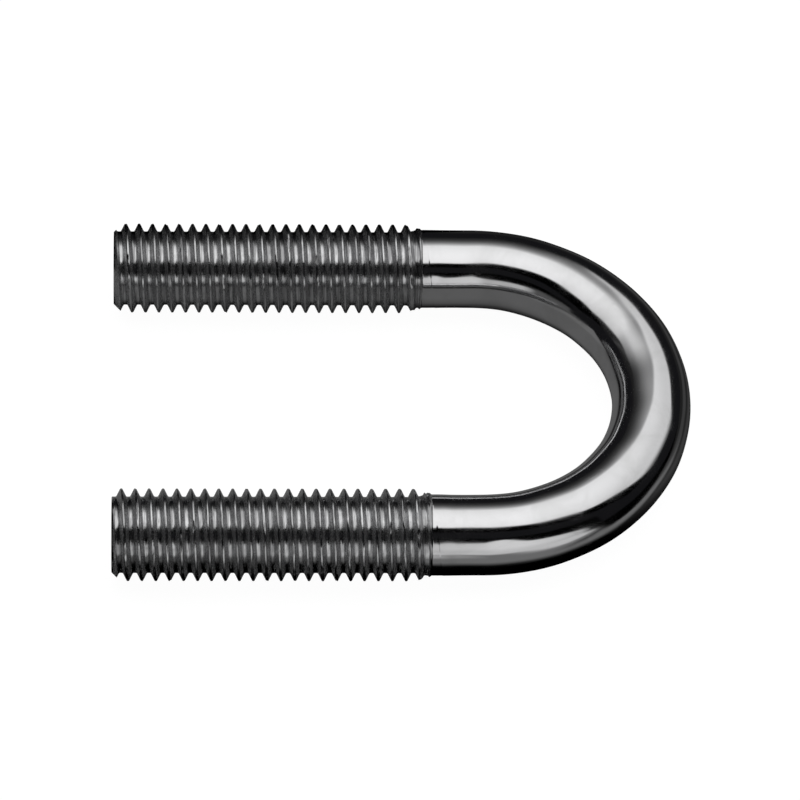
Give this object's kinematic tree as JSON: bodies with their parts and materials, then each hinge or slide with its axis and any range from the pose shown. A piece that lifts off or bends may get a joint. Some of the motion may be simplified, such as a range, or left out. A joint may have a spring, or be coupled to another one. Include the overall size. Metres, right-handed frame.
{
  "type": "round-bend u-bolt",
  "caption": "Round-bend U-bolt in polished steel: a half-round bow with plain shanks and right-hand threaded leg ends, chamfered at the tips.",
  "frame": {"origin": "centre of the half-round bend, which is the axis of the round it clamps, at the middle of the rod's thickness", "axes": "+X towards the bow's crown, legs towards -X, +Z square to the plane of the U, left leg at +Y"},
  "size_m": [0.0638, 0.0488, 0.01],
  "materials": {
    "polished_rod": "bright polished steel rod, fine drawing lines along it",
    "rolled_thread": "bright rolled thread, fine lines running round it and duller on the flanks"
  },
  "bodies": {
    "root": {"bow": "polished_rod", "left_shank": "polished_rod", "right_shank": "polished_rod", "left_thread": "rolled_thread", "right_thread": "rolled_thread"}
  },
  "joints": []
}
